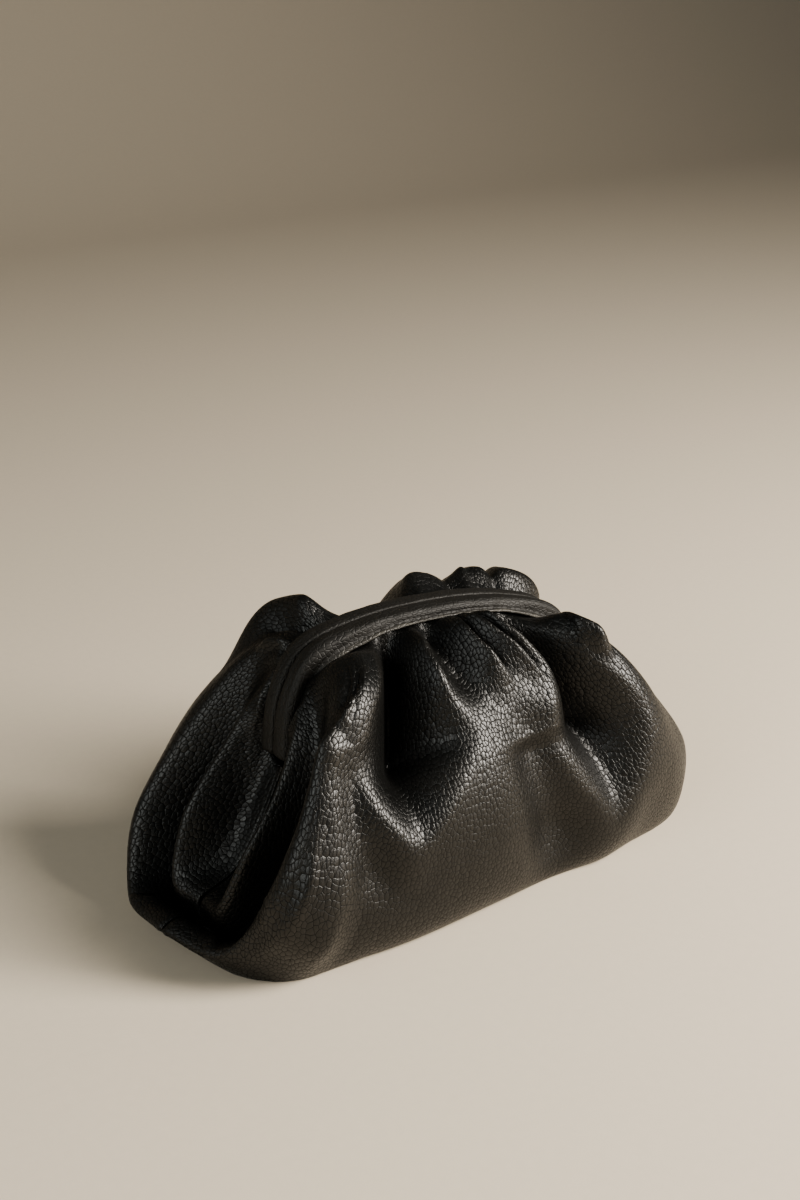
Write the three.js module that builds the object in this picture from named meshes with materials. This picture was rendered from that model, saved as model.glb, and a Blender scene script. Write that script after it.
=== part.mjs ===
// A gathered leather clutch bag. Two soft leather panels, front and back, are sewn together along one seam
// that runs under the bag and up each end. Each panel is gathered into the leather sleeve of its half of an
// arched frame. The ends tuck in between the panels as nested folds.
// Millimetres, +Z up, X along the bag, the front at -Y, origin on the floor under the middle of the bag.
import * as THREE from "three";

// Driving sizes
const WALL = 1.6; // thickness of the leather
const SEAM_GAP = 0.3; // between the two panels
const SLEEVE_THICK = 8; // one sleeve, front to back
const SLEEVE_TALL = 8; // one sleeve, across the arch
const SLEEVE_ROUND = 2.4; // radius of its outer top edge
const SLEEVE_STEPS = 28; // segments along a sleeve
const SLEEVE_ROUND_STEPS = 3; // segments of its rounded edge
const NORMAL_STEP = 1.5; // distance over which a surface direction is measured
const LEATHER_BLACK = 0x14110f;
const SLEEVE_BLACK = 0x1a1512;

// The bag has settled: the right end of the frame sits lower and further forward than the left end.
const SETTLE_DROP = 0.08; // fall of the frame per millimetre to the right
const SETTLE_TURN = 0.06; // forward turn of the frame per millimetre to the right
const SETTLE_FROM = 45; // height where the settling starts
const SETTLE_FULL = 105; // height where it is complete
const BACK_LONGER = 0.0009; // growth of the length per millimetre towards the back, low down

// The arch of the frame in the plane between the panels, from a hinge up the arm to the middle of the top bar.
const ARCH = [
  { name: "hinge", reach: 78, height: 66 },
  { name: "arm", reach: 73, height: 86 },
  { name: "corner", reach: 60, height: 105 },
  { name: "shoulder", reach: 36, height: 113 },
  { name: "middle", reach: 0, height: 116 },
];

// Where along the leather the stations of every section lie, measured from the seam towards the frame.
const STATIONS = [
  { name: "seam", up: 0, segments: 2 },
  { name: "corner", up: 48, segments: 3 },
  { name: "low", up: 84, segments: 6 },
  { name: "high", up: 134, segments: 6 },
  { name: "crest", up: 176, segments: 3 },
  { name: "tuck", up: 192, segments: 0 },
];

// Sections of one panel, from the frame's arm at the end to the middle of the face. across is measured along
// the leather from the middle. Each section gives its reach (X), its depth from the middle plane and its height
// at the stations.
const SECTIONS = [
  {
    name: "arm", across: 226, segments: 2,
    reach: [80.5, 80.4, 80.2, 80, 79.4, 78.5],
    depth: [0, 3.5, 6.5, 9, 10.1, 10.1],
    height: [63, 64, 65.5, 67, 68.5, 70],
  },
  {
    name: "pit", across: 204, segments: 2,
    reach: [94, 92, 85, 79.5, 76.5, 74.5],
    depth: [0, 7, 11, 12.5, 12, 10.1],
    height: [27, 32, 47, 63, 74, 79],
  },
  {
    name: "inner_ridge", across: 180, segments: 3,
    reach: [113, 115, 106, 85, 74, 71],
    depth: [0, 15, 20, 18.5, 14, 10.1],
    height: [17, 22, 44, 68, 83, 87],
  },
  {
    name: "valley", across: 156, segments: 3,
    reach: [115, 107, 88, 74, 67, 66],
    depth: [0, 20, 27, 26, 18, 10.1],
    height: [5, 6, 32, 68, 88, 94],
  },
  {
    name: "outer_ridge", across: 130, segments: 4,
    reach: [131, 125, 111, 82, 61, 60],
    depth: [0, 31, 43, 37, 22, 10.1],
    height: [9, 12, 38, 74, 99, 101],
  },
  {
    name: "flank", across: 108, segments: 8,
    reach: [118, 113, 104, 80, 54, 50],
    depth: [0, 41, 53, 46, 25, 9.8],
    height: [0, 0, 32, 74, 100, 102.5],
  },
  {
    name: "quarter", across: 66, segments: 10,
    reach: [72, 70, 70, 58, 36, 29],
    depth: [0, 51, 61, 54, 26, 9.4],
    height: [0, 0, 30, 75, 100, 107],
  },
  {
    name: "middle", across: 0, segments: 0,
    reach: [0, 0, 0, 0, 0, 0],
    depth: [0, 52, 63, 55, 26, 9.4],
    height: [0, 0, 30, 75, 101, 109.3],
  },
];

// Hollows that the gathers leave in a face: a narrow top near the frame that widens and ends in a rounded tip.
// left and right are the half widths on the two sides of the deepest line.
const FRONT_DENTS = [
  { name: "left_dent", top: [-70, 190], tip: [-42, 102], left: 26, right: 40, depth: 20, rim: 4 },
  { name: "right_dent", top: [72, 190], tip: [60, 74], left: 24, right: 28, depth: 19, rim: 4 },
  { name: "left_hollow", top: [-84, 110], tip: [-76, 50], left: 16, right: 18, depth: 4, rim: 0 },
  { name: "middle_hollow", top: [22, 132], tip: [20, 60], left: 18, right: 18, depth: 5, rim: 0 },
];
const BACK_DENTS = [
  { name: "left_dent", top: [-46, 190], tip: [-44, 96], left: 30, right: 30, depth: 20, rim: 3 },
  { name: "middle_dent", top: [50, 190], tip: [44, 112], left: 18, right: 18, depth: 9, rim: 2 },
  { name: "right_dent", top: [98, 190], tip: [88, 92], left: 18, right: 20, depth: 12, rim: 3 },
];

// How a dent grows down from its top, as shares of its length, width and depth.
const DENT_WIDEST = 0.6; // the way down to its widest place
const DENT_TOP_WIDTH = 0.5;
const DENT_TOP_DEPTH = 0.3;
const DENT_MOUTH = [-0.1, 0.15]; // the way over which it starts
const RIM_MOUTH = [0.1, 0.5]; // the way over which its rim starts
const RIM_AT = 1.1; // the rim's crest, from the deepest line
const RIM_WIDTH = 0.28;

// Gathers at the frame: rounded pleats that stand up from the face and run down from the sleeve, leaning to
// the right by lean for each millimetre of the way.
const FRONT_GATHERS = [
  { name: "left_knuckle", at: -98, half_width: 19, rise: 8, run: 60, lean: 0 },
  { name: "first", at: -42, half_width: 14, rise: 5, run: 52, lean: 0.3 },
  { name: "second", at: -8, half_width: 14, rise: 5, run: 62, lean: 0.5 },
  { name: "third", at: 28, half_width: 14, rise: 5, run: 66, lean: 0.4 },
  { name: "right_knuckle", at: 102, half_width: 20, rise: 7, run: 70, lean: 0 },
];
const BACK_GATHERS = [
  { name: "left_knuckle", at: -88, half_width: 18, rise: 14, run: 50, lean: 0 },
  { name: "first", at: 20, half_width: 22, rise: 17, run: 62, lean: 0 },
  { name: "second", at: 74, half_width: 19, rise: 16, run: 62, lean: 0 },
  { name: "right_knuckle", at: 116, half_width: 17, rise: 9, run: 66, lean: 0 },
];

const GATHER_FULL = 22; // a gather is at its height this far down from the frame
const GATHER_TUCK = 12; // and sinks into the sleeve over this last stretch

const smoothstep = (low, high, value) => THREE.MathUtils.smoothstep(value, low, high);
const bell = (value) => Math.exp(-value * value);

// A smooth curve through values at increasing knots, evaluated at one place.
function through(knots, values, at) {
  const last = knots.length - 1;
  let i = 0;
  while (i < last - 1 && at > knots[i + 1]) i++;
  const slope = (k) => (values[k + 1] - values[k]) / (knots[k + 1] - knots[k]);
  const tangent = (k) => {
    if (k === 0) return slope(0);
    if (k === last) return slope(last - 1);
    const before = knots[k] - knots[k - 1];
    const after = knots[k + 1] - knots[k];
    return (slope(k - 1) * after + slope(k) * before) / (before + after);
  };
  const span = knots[i + 1] - knots[i];
  const t = (at - knots[i]) / span;
  const t2 = t * t;
  const t3 = t2 * t;
  return (
    (2 * t3 - 3 * t2 + 1) * values[i] +
    (t3 - 2 * t2 + t) * span * tangent(i) +
    (3 * t2 - 2 * t3) * values[i + 1] +
    (t3 - t2) * span * tangent(i + 1)
  );
}

// The sections of a whole panel from its left end to its right end, the right half mirrored from the left.
const LEFT = SECTIONS.map((s) => ({ ...s, across: -s.across, reach: s.reach.map((x) => -x) }));
const RIGHT = SECTIONS.slice(0, -1).reverse();
const ROWS = [...LEFT, ...RIGHT];
const ROW_KNOTS = ROWS.map((row) => row.across);
const ROW_SEGMENTS = [...LEFT.slice(0, -1), ...RIGHT].map((row) => row.segments);
const STATION_KNOTS = STATIONS.map((station) => station.up);

// Where a point goes when the frame has settled to the right.
function settled(point) {
  const share = smoothstep(SETTLE_FROM, SETTLE_FULL, point.z);
  point.y -= SETTLE_TURN * point.x * share;
  point.z -= SETTLE_DROP * point.x * share;
  point.x *= 1 + BACK_LONGER * point.y * (1 - share);
  return point;
}

// A point of a panel's smooth form, before its folds. face is -1 for the front and 1 for the back.
function smoothPoint(across, up, face) {
  const along = (column) =>
    through(ROW_KNOTS, ROWS.map((row) => through(STATION_KNOTS, row[column], up)), across);
  const depth = Math.max(along("depth"), SEAM_GAP / 2);
  return new THREE.Vector3(along("reach"), face * depth, Math.max(along("height"), 0));
}

// How far a dent pushes the leather in (negative) or its rim stands out, at a place on the pattern.
function dentHeight(dent, across, up) {
  const [topAcross, topUp] = dent.top;
  const [tipAcross, tipUp] = dent.tip;
  const down = (topUp - up) / (topUp - tipUp);
  const middle = THREE.MathUtils.lerp(topAcross, tipAcross, smoothstep(0, DENT_WIDEST, down));
  const side = across < middle ? dent.left : dent.right;
  const width = side * THREE.MathUtils.lerp(DENT_TOP_WIDTH, 1, smoothstep(0, DENT_WIDEST, down));
  const towardsTip = Math.max(0, (down - DENT_WIDEST) / (1 - DENT_WIDEST));
  const ring = Math.hypot((across - middle) / width, towardsTip);
  const deep = THREE.MathUtils.lerp(DENT_TOP_DEPTH, 1, smoothstep(0, DENT_WIDEST, down));
  const bowl = -dent.depth * deep * smoothstep(...DENT_MOUTH, down) * (1 - smoothstep(0, 1, ring));
  const rim = dent.rim * smoothstep(...RIM_MOUTH, down) * bell((ring - RIM_AT) / RIM_WIDTH);
  return bowl + rim;
}

// How far a gather lifts the leather at a place on the pattern.
function gatherHeight(gather, across, up) {
  const down = STATIONS.at(-1).up - up;
  const lateral = (across - gather.at - gather.lean * down) / gather.half_width;
  const run = (1 - smoothstep(GATHER_FULL, gather.run, down)) * smoothstep(0, GATHER_TUCK, down);
  return gather.rise * bell(lateral) * run;
}

// The outward lift of all a panel's folds at a place on the pattern.
function foldHeight(panel, across, up) {
  const dents = panel.dents.reduce((sum, dent) => sum + dentHeight(dent, across, up), 0);
  const gathers = panel.gathers.reduce((sum, gather) => sum + gatherHeight(gather, across, up), 0);
  return dents + gathers;
}

// A point of a panel's outer surface, folds included.
function panelPoint(panel, across, up) {
  const here = smoothPoint(across, up, panel.face);
  const lift = foldHeight(panel, across, up);
  const near = (da, du) => smoothPoint(across + da * NORMAL_STEP, up + du * NORMAL_STEP, panel.face);
  const acrossways = near(1, 0).sub(near(-1, 0));
  const upwards = near(0, 1).sub(near(0, -1));
  const out = acrossways.cross(upwards).multiplyScalar(-panel.face).normalize();
  here.addScaledVector(out, lift);
  here.z = Math.max(here.z, 0);
  return here;
}

// The places of the grid lines: each span between two knots is cut into its own number of segments.
function gridLines(knots, segments) {
  const lines = knots.slice(0, -1).flatMap((knot, i) =>
    Array.from({ length: segments[i] }, (_, k) => THREE.MathUtils.lerp(knot, knots[i + 1], k / segments[i])));
  return [...lines, knots.at(-1)];
}

// The triangles of a grid of columns and rows, and the grid's border in the same turning sense.
function gridFaces(columns, rows) {
  const index = (c, r) => c * rows + r;
  const faces = [];
  for (let c = 0; c < columns - 1; c++) {
    for (let r = 0; r < rows - 1; r++) {
      faces.push([index(c, r), index(c + 1, r), index(c + 1, r + 1)]);
      faces.push([index(c, r), index(c + 1, r + 1), index(c, r + 1)]);
    }
  }
  const border = [];
  for (let c = 0; c < columns - 1; c++) border.push(index(c, 0));
  for (let r = 0; r < rows - 1; r++) border.push(index(columns - 1, r));
  for (let c = columns - 1; c > 0; c--) border.push(index(c, rows - 1));
  for (let r = rows - 1; r > 0; r--) border.push(index(0, r));
  return { faces, border };
}

// Each triangle with its corners in the opposite order.
const turned = (faces) => faces.map(([a, b, c]) => [a, c, b]);

// The inner side of a wall: every point moved in by the wall's thickness, but not past the seam's middle plane.
function innerPoints(points, faces, face) {
  const skin = new THREE.BufferGeometry().setFromPoints(points).setIndex(faces.flat());
  skin.computeVertexNormals();
  const normals = skin.getAttribute("normal");
  return points.map((point, i) => {
    const inner = point.clone().addScaledVector(new THREE.Vector3().fromBufferAttribute(normals, i), -WALL);
    inner.y = face * Math.max(face * inner.y, SEAM_GAP / 2);
    return inner;
  });
}

// One panel: a closed wall of one thickness between its outer and inner points, with its four edges.
function panelGeometry(panel) {
  const acrossLines = gridLines(ROW_KNOTS, ROW_SEGMENTS);
  const upLines = gridLines(STATION_KNOTS, STATIONS.map((station) => station.segments));
  const outer = acrossLines.flatMap((across) => upLines.map((up) => panelPoint(panel, across, up)));
  const grid = gridFaces(acrossLines.length, upLines.length);
  const skin = panel.face < 0 ? grid.faces : turned(grid.faces);
  const inner = innerPoints(outer, skin, panel.face);
  const count = outer.length;
  const inside = turned(skin).map((triangle) => triangle.map((i) => i + count));
  const edges = grid.border.flatMap((a, i) => {
    const b = grid.border[(i + 1) % grid.border.length];
    return [[b, a, a + count], [b, a + count, b + count]];
  });
  const faces = [...skin, ...inside, ...(panel.face < 0 ? edges : turned(edges))];
  return new THREE.BufferGeometry().setFromPoints([...outer, ...inner].map(settled)).setIndex(faces.flat());
}

// One sleeve: a section with a rounded outer edge, swept along the arch and settled with it. In the section
// X runs towards the front and Y inwards from the top of the arch.
function sleeveGeometry(face) {
  const left = ARCH.map((p) => new THREE.Vector3(-p.reach, 0, p.height));
  const right = ARCH.slice(0, -1).reverse().map((p) => new THREE.Vector3(p.reach, 0, p.height));
  const arch = new THREE.CatmullRomCurve3([...left, ...right], false, "centripetal");
  const near = -face * SEAM_GAP / 2;
  const far = near - face * SLEEVE_THICK;
  const section = new THREE.Shape();
  section.moveTo(near, SLEEVE_TALL);
  section.lineTo(far, SLEEVE_TALL);
  section.lineTo(far, SLEEVE_ROUND);
  section.quadraticCurveTo(far, 0, far + face * SLEEVE_ROUND, 0);
  section.lineTo(near, 0);
  const sweep = { steps: SLEEVE_STEPS, curveSegments: SLEEVE_ROUND_STEPS, extrudePath: arch };
  const geometry = new THREE.ExtrudeGeometry(section, sweep);
  const corners = geometry.getAttribute("position");
  const corner = new THREE.Vector3();
  for (let i = 0; i < corners.count; i++) {
    settled(corner.fromBufferAttribute(corners, i));
    corners.setXYZ(i, corner.x, corner.y, corner.z);
  }
  return geometry;
}

const panelLeather = new THREE.MeshStandardMaterial({ color: LEATHER_BLACK, roughness: 0.5, metalness: 0 });
const sleeveLeather = new THREE.MeshStandardMaterial({ color: SLEEVE_BLACK, roughness: 0.6, metalness: 0 });

function named(name, geometry, material) {
  const mesh = new THREE.Mesh(geometry, material);
  mesh.name = name;
  return mesh;
}

const FRONT = { face: -1, dents: FRONT_DENTS, gathers: FRONT_GATHERS };
const BACK = { face: 1, dents: BACK_DENTS, gathers: BACK_GATHERS };

const bag = new THREE.Group();
bag.add(named("front_panel", panelGeometry(FRONT), panelLeather));
bag.add(named("back_panel", panelGeometry(BACK), panelLeather));
bag.add(named("front_sleeve", sleeveGeometry(-1), sleeveLeather));
bag.add(named("back_sleeve", sleeveGeometry(1), sleeveLeather));

export default bag;
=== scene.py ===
import math
from collections import namedtuple
from contextlib import contextmanager

import bpy
import numpy as np
from bpy.props import FloatProperty, FloatVectorProperty, IntProperty, PointerProperty
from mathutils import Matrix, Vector, noise


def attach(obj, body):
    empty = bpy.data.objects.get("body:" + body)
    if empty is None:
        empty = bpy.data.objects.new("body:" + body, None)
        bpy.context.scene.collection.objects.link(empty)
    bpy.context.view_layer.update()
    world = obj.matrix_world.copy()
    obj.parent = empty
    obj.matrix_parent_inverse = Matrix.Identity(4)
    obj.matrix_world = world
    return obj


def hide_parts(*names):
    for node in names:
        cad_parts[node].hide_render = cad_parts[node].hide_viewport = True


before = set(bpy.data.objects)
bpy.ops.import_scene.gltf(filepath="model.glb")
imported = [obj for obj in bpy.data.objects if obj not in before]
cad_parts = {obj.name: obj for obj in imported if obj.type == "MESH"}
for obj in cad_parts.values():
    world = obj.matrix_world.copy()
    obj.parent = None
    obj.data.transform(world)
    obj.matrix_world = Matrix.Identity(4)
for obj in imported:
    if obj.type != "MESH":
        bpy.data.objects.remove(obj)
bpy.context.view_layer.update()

bl_info = {
    "name": "Gathered leather clutch bag",
    "version": (1, 0, 0),
    "blender": (4, 5, 0),
    "location": "View3D > Sidebar > Bag",
    "description": "Makes the leather panels and frame sleeves of a gathered clutch bag, and a studio",
    "category": "Object",
}

BODY = "root"
MM = 0.001

# The tables below are in millimetres on the bag's pattern: across from the middle of a panel towards its
# ends, and up from the seam under the bag to the frame.

Section = namedtuple("Section", "name across reach depth height")
Dent = namedtuple("Dent", "name top tip left right depth left_rim right_rim")
Gather = namedtuple("Gather", "name at half_width rise run lean tuck")
Crease = namedtuple("Crease", "name path left right rise")
Wave = namedtuple("Wave", "across up height")
PanelShape = namedtuple("PanelShape", "name node face dents gathers creases seed")
SleeveShape = namedtuple("SleeveShape", "name node face seed")
Lamp = namedtuple("Lamp", "name place width tall setting share colour")

STATIONS = np.array([0.0, 48.0, 84.0, 134.0, 176.0, 192.0])
SHOULDER = STATIONS[3]
TOP = STATIONS[-1]

# The smooth form of one half of a panel. Each section gives reach, depth and height at the stations.
SECTIONS = [
    Section("arm", 226, reach=(73, 73, 73, 72.5, 72, 71),
            depth=(0, 3.5, 6.5, 8.5, 9.6, 9.6), height=(61, 62, 64, 66, 68, 70)),
    Section("pit", 204, reach=(94, 92, 85, 79.5, 76.5, 74.5),
            depth=(0, 7, 11, 12.5, 12, 10.1), height=(27, 32, 47, 63, 74, 79)),
    Section("inner_ridge", 180, reach=(113, 115, 106, 85, 74, 71),
            depth=(0, 15, 20, 18.5, 14, 10.1), height=(17, 22, 44, 68, 83, 87)),
    Section("valley", 156, reach=(115, 107, 88, 74, 67, 66),
            depth=(0, 20, 27, 26, 18, 10.1), height=(5, 6, 32, 68, 88, 94)),
    Section("outer_ridge", 130, reach=(131, 125, 111, 82, 61, 60),
            depth=(0, 31, 43, 37, 22, 10.1), height=(9, 12, 38, 74, 99, 101)),
    Section("flank", 108, reach=(118, 113, 104, 80, 54, 50),
            depth=(0, 41, 53, 46, 25, 9.8), height=(0, 0, 32, 74, 100, 102.5)),
    Section("quarter", 66, reach=(72, 70, 70, 58, 36, 29),
            depth=(0, 51, 61, 54, 26, 9.4), height=(0, 0, 30, 75, 100, 107)),
    Section("middle", 0, reach=(0, 0, 0, 0, 0, 0),
            depth=(0, 52, 63, 55, 26, 9.4), height=(0, 0, 30, 75, 101, 109.3)),
]
LEFT = [s._replace(across=-s.across, reach=tuple(-x for x in s.reach)) for s in SECTIONS]
ROWS = LEFT + SECTIONS[-2::-1]
ROW_KNOTS = np.array([row.across for row in ROWS], float)

# A dent runs from its top near the frame down to its tip, as wide as left and right, between raised rims.
FRONT_DENTS = [
    Dent("left_dent", (-66, 190), (-52, 102), 42, 37, 30, 3, 0),
    Dent("right_dent", (63, 190), (50, 76), 32, 37, 27, 2, 2),
]
BACK_DENTS = [
    Dent("left_dent", (-42, 190), (-44, 94), 32, 32, 25, 2, 2),
    Dent("middle_dent", (50, 190), (44, 112), 18, 18, 3, 1, 1),
    Dent("right_dent", (98, 190), (88, 90), 20, 22, 7, 1, 1),
]
# Shares of a dent's run down from its top, of its width out from its middle, and of its depth.
DENT_SETS_IN = (-0.1, 0.15)
DENT_WIDEST = 0.6
DENT_TOP_WIDTH = 0.42
DENT_TOP_DEPTH = 0.45
DENT_DEEPEST = 0.45
DENT_NARROWS = 0.48
VALLEY_ROUND = 0.12
TIP_ROUND = 0.65
RIM_SETS_IN = (0.1, 0.5)
RIM_CHANGES_OVER = 0.3
RIM_AT = 1.1
RIM_WIDTH = 0.36
RIM_OUTER_WIDTH = 0.6

# A gather stands out below a place on the frame, leans across as it runs down, and sets in over its tuck.
FRONT_GATHERS = [
    Gather("left_knuckle", -92, 24, 5, 64, -0.2, 10),
    Gather("left_shoulder", -114, 22, 3.5, 64, -0.1, 12),
    Gather("first", -42, 14, 5, 52, 0.3, 12),
    Gather("second", -6, 15, 4, 62, 0.5, 12),
    Gather("third", 22, 12, 3.5, 60, 0.4, 8),
    Gather("over_lip", 18, 26, 3, 40, 0.4, 5),
    Gather("right_knuckle", 102, 20, 7, 70, 0, 12),
]
BACK_GATHERS = [
    Gather("left_knuckle", -87, 14, 14, 52, 0, 12),
    Gather("knuckle_side", -70, 14, 5, 46, 0, 12),
    Gather("first", 28, 25, 14.5, 62, 0, 12),
    Gather("second", 78, 27, 14, 62, 0, 12),
    Gather("right_knuckle", 116, 20, 11, 66, 0, 12),
    Gather("right_fold", 142, 16, 8, 60, 0, 12),
]
GATHER_FULL = 22

# Pleat edges, ridges and grooves. Each follows a path over the pattern, with its own widths to the left and
# right of a path that runs down, or below and above one that runs to the right. It stands out by rise, or
# sinks in by a negative rise. The end rims run on past the seam, so that they are at full height there.
END_RIMS = [
    Crease("left_rim", [(-142, 44), (-142, 0), (-142, -44)], 9, 9, 6.0),
    Crease("right_rim", [(142, 44), (142, 0), (142, -44)], 9, 9, 6.0),
]
FRONT_CREASES = [
    Crease("left_hollow", [(-99, 144), (-88, 120), (-74, 100), (-58, 86), (-42, 74)], 10, 15, -6.0),
    Crease("left_column", [(-110, 150), (-119, 122), (-123, 96), (-121, 62)], 6, 17, 9.0),
    Crease("middle_hollow", [(13, 133), (14, 119), (18, 100), (23, 74), (25, 40)], 15, 15, -11.0),
    Crease("left_foot", [(-120, 80), (-106, 78), (-92, 76), (-78, 74)], 17, 27, 7.5),
    Crease("corner_hollow", [(-127, 144), (-134, 112), (-138, 82), (-138, 46)], 15, 8, -7.0),
    Crease("slit_by_knuckle", [(-66, 192), (-61, 184), (-56, 172)], 6, 8, -3.5),
    Crease("thin_pleat", [(-40, 192), (-40, 176), (-34, 166), (-27, 156)], 6, 7, 3.2),
    Crease("pleat_hollow", [(-24, 190), (-22, 176), (-15, 164), (-8, 152)], 8, 9, -4.0),
    Crease("knife_pleat", [(0, 192), (-3, 182), (1, 173), (9, 164), (16, 157)], 10, 1.8, 6.2),
    Crease("knife_groove", [(4, 192), (1, 182), (5, 172), (12, 162), (18, 155)], 1.8, 3.0, -2.8),
    Crease("second_knife_pleat", [(8, 192), (14, 182), (21, 173), (28, 163), (33, 155)], 7, 2, 6.5),
    Crease("second_groove", [(12, 192), (18, 182), (25, 172), (32, 162), (37, 153)], 2, 4, -3.8),
    Crease("third_knife_pleat", [(24, 192), (30, 180), (38, 172), (46, 164)], 6, 2.6, 5.2),
    Crease("dark_pleat", [(58, 192), (72, 184), (80, 174), (84, 160)], 8, 8, 2.0),
    Crease("right_knob", [(92, 176), (97, 169), (102, 160)], 10, 9, 7.0),
    Crease("knuckle_groove", [(108, 191), (114, 165), (120, 138)], 4, 3.5, -2.6),
    Crease("knuckle_line", [(-118, 180), (-113, 160), (-110, 132)], 1.8, 1.8, -0.6),
    Crease("knuckle_line_2", [(-108, 178), (-104, 160), (-102, 136)], 1.8, 1.8, -0.5),
    *END_RIMS,
]
BACK_CREASES = [
    Crease("crease_under_knob", [(-97, 191), (-100, 180), (-104, 164)], 4, 5, -5.0),
    Crease("fold_under_knob", [(-126, 191), (-130, 180), (-133, 164)], 4, 5, 3.0),
    Crease("lobe_crease", [(50, 192), (51, 188), (52, 180)], 4, 7, -5.0),
    Crease("second_lobe_crease", [(94, 192), (95, 188), (96, 182)], 4, 6, -4.5),
    Crease("lobe_pleat", [(66, 192), (68, 184), (70, 174)], 9, 4, 2.5),
    Crease("left_lobe_pleat", [(12, 192), (14, 184), (18, 172)], 5, 9, 2.5),
    *END_RIMS,
]
CREASE_STEPS = 24
# Shares of a crease's path over which it sets in and fades out.
CREASE_SETS_IN = (-0.1, 0.1)
CREASE_FADES = (0.5, 1)

# Small waves: their widths across and up the pattern, and their heights as shares of the wrinkle setting.
BROAD_WAVE = Wave(26, 44, 0.9)
FINE_WAVE = Wave(9, 22, 0.55)
FINE_WAVE_LAYER = 5.0
FINE_WAVE_LOW_SHARE = 0.25
FINE_WAVE_GROWS = (120, 180)

PANELS = [
    PanelShape("front_leather", "front_panel", -1, FRONT_DENTS, FRONT_GATHERS, FRONT_CREASES, 3.0),
    PanelShape("back_leather", "back_panel", 1, BACK_DENTS, BACK_GATHERS, BACK_CREASES, 11.0),
]
# The outer face of the leather stays this far from the plane between the two halves of the bag.
MIDDLE_GAP = 0.15
SEAM_DEPTH = 1.2
SEAM_WIDTH = 3.2
# Heights above the floor over which waves and the seam's groove set in, because the base is flat.
OFF_FLOOR = (2, 14)
NORMAL_STEP = 1.5

# A settled bag: its frame turns forward and down towards its right end, and its base is longer at the back.
SETTLED_HEIGHTS = (45, 105)
SETTLED_FORWARD = 0.06
SETTLED_DOWN = 0.08
BACK_LONGER = 0.0009

# The columns of a panel's grid are closer in the middle, and its rows above the shoulder.
COLUMN_SPREAD = 0.45
ROWS_BELOW_SHOULDER = 4 / 7
PATTERN_COLUMN_STEP = 2
PATTERN_ROWS = 72

# A place that stands out by this height from the places this many faces away counts as a full ridge.
RIDGE_FACES = 3
RIDGE_HEIGHT = 0.5
NEVER_ZERO = 1e-12

# The arch of the frame in the plane between the panels: reach and height from a hinge to the middle of the
# top bar.
ARCH = [(78, 66), (73, 86), (60, 105), (36, 113), (0, 116)]
ARCH_STEPS = 1200
TUCK_STEPS = 2400

# The section of one sleeve: out from the plane between the sleeves, and in from the top of the arch. Its
# outer lower edge is turned over into a lip that the panel's gathered edge goes under.
SLEEVE_SECTION = [
    (0.25, 8.0), (0.2, 5.0), (0.2, 2.0), (0.35, 0.9), (0.9, 0.2), (2.2, -0.1), (4.2, -0.2),
    (6.0, 0.0), (7.4, 0.6), (8.2, 1.7), (8.5, 3.2), (8.6, 4.8), (8.9, 6.0), (9.7, 6.5),
    (10.2, 7.1), (10.25, 7.8), (9.9, 8.4), (9.1, 8.6), (7.5, 8.4), (4.0, 8.2), (1.5, 8.2),
]
SLEEVES = [
    SleeveShape("front_sleeve_leather", "front_sleeve", -1, 21.0),
    SleeveShape("back_sleeve_leather", "back_sleeve", 1, 34.0),
]
SECTION_STEPS = 72
END_ROUND = 2.5
END_CLOSED = 0.08
# Lines along a sleeve and knots in them: their length along it, the radius of the ring of noise that is laid
# round its section, and the height of a knot as a share of a line's.
LINE_LENGTH = 16
LINE_RING = 2.4
KNOT_LENGTH = 4
KNOT_RING = 1.2
KNOT_SHARE = 0.5
# The part of the section that is rubbed and coloured paler, partly as wear and partly as painted highlight:
# the lip, far out and above its lower edge.
LIP_OUT = (8.9, 9.9)
LIP_LOWER_EDGE = (7.6, 8.4)
# Points of a finished sleeve that are this close, in metres, are merged.
MERGE_WITHIN = 1e-6

# The share of a sleeve that the gathers cover over the middle, and the reach where that ends.
COVERED_SHARE = 0.38
COVERED_ENDS = (25, 62)

# Where a panel's top edge goes, along the top bar and along the arms: in from the arch, and out from the
# plane between the panels.
ARM_BEGINS = (112, 150)
TUCK_IN = (9.4, 4.0)
TUCK_OUT = (8.2, 9.2)
TUCK_OUT_AT_CORNER = 6
TUCK_RUN = 7

# The studio, in metres.
FLOOR_SIZE = 5
FLOOR_BACK = 2
WALL_HEIGHT = 3
WALL_FOOT = 0.1
BEND_RADIUS = 1.2
BEND_FACES = 24
LAMPS = [
    Lamp("key", (0.76, -0.87, 0.71), 0.36, 2.4, "key", 1, (1.0, 0.94, 0.86)),
    Lamp("fill", (-1.0, -0.36, 0.55), 0.6, 1, "fill", 1, (0.97, 1.0, 0.96)),
    Lamp("left", (-1.1, 0.3, 0.9), 0.8, 1, "fill", 0.3, (0.97, 1.0, 0.97)),
]
LAMPS_AIM = Vector((0, 0, 0.05))
SKY_COLOUR = (0.94, 1.0, 0.97, 1)
CAMERA_PLACE = (-385.183 * MM, -490.811 * MM, 380.139 * MM)
CAMERA_AZIMUTH = math.radians(-37)
CAMERA_ELEVATION = math.radians(23)
SENSOR_HEIGHT_MM = 36


def smoothstep(low, high, value):
    """A smooth step from 0 at low to 1 at high."""
    share = np.clip((value - low) / (high - low), 0, 1)
    return share * share * (3 - 2 * share)


def mix(start, end, share):
    """A value part of the way from start to end."""
    return start + (end - start) * share


def lengths_along(points, power=1):
    """The sum of the steps along a line of points, up to each point, with each step raised to a power."""
    return np.concatenate([[0], np.cumsum(np.linalg.norm(np.diff(points, axis=0), axis=1) ** power)])


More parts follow.
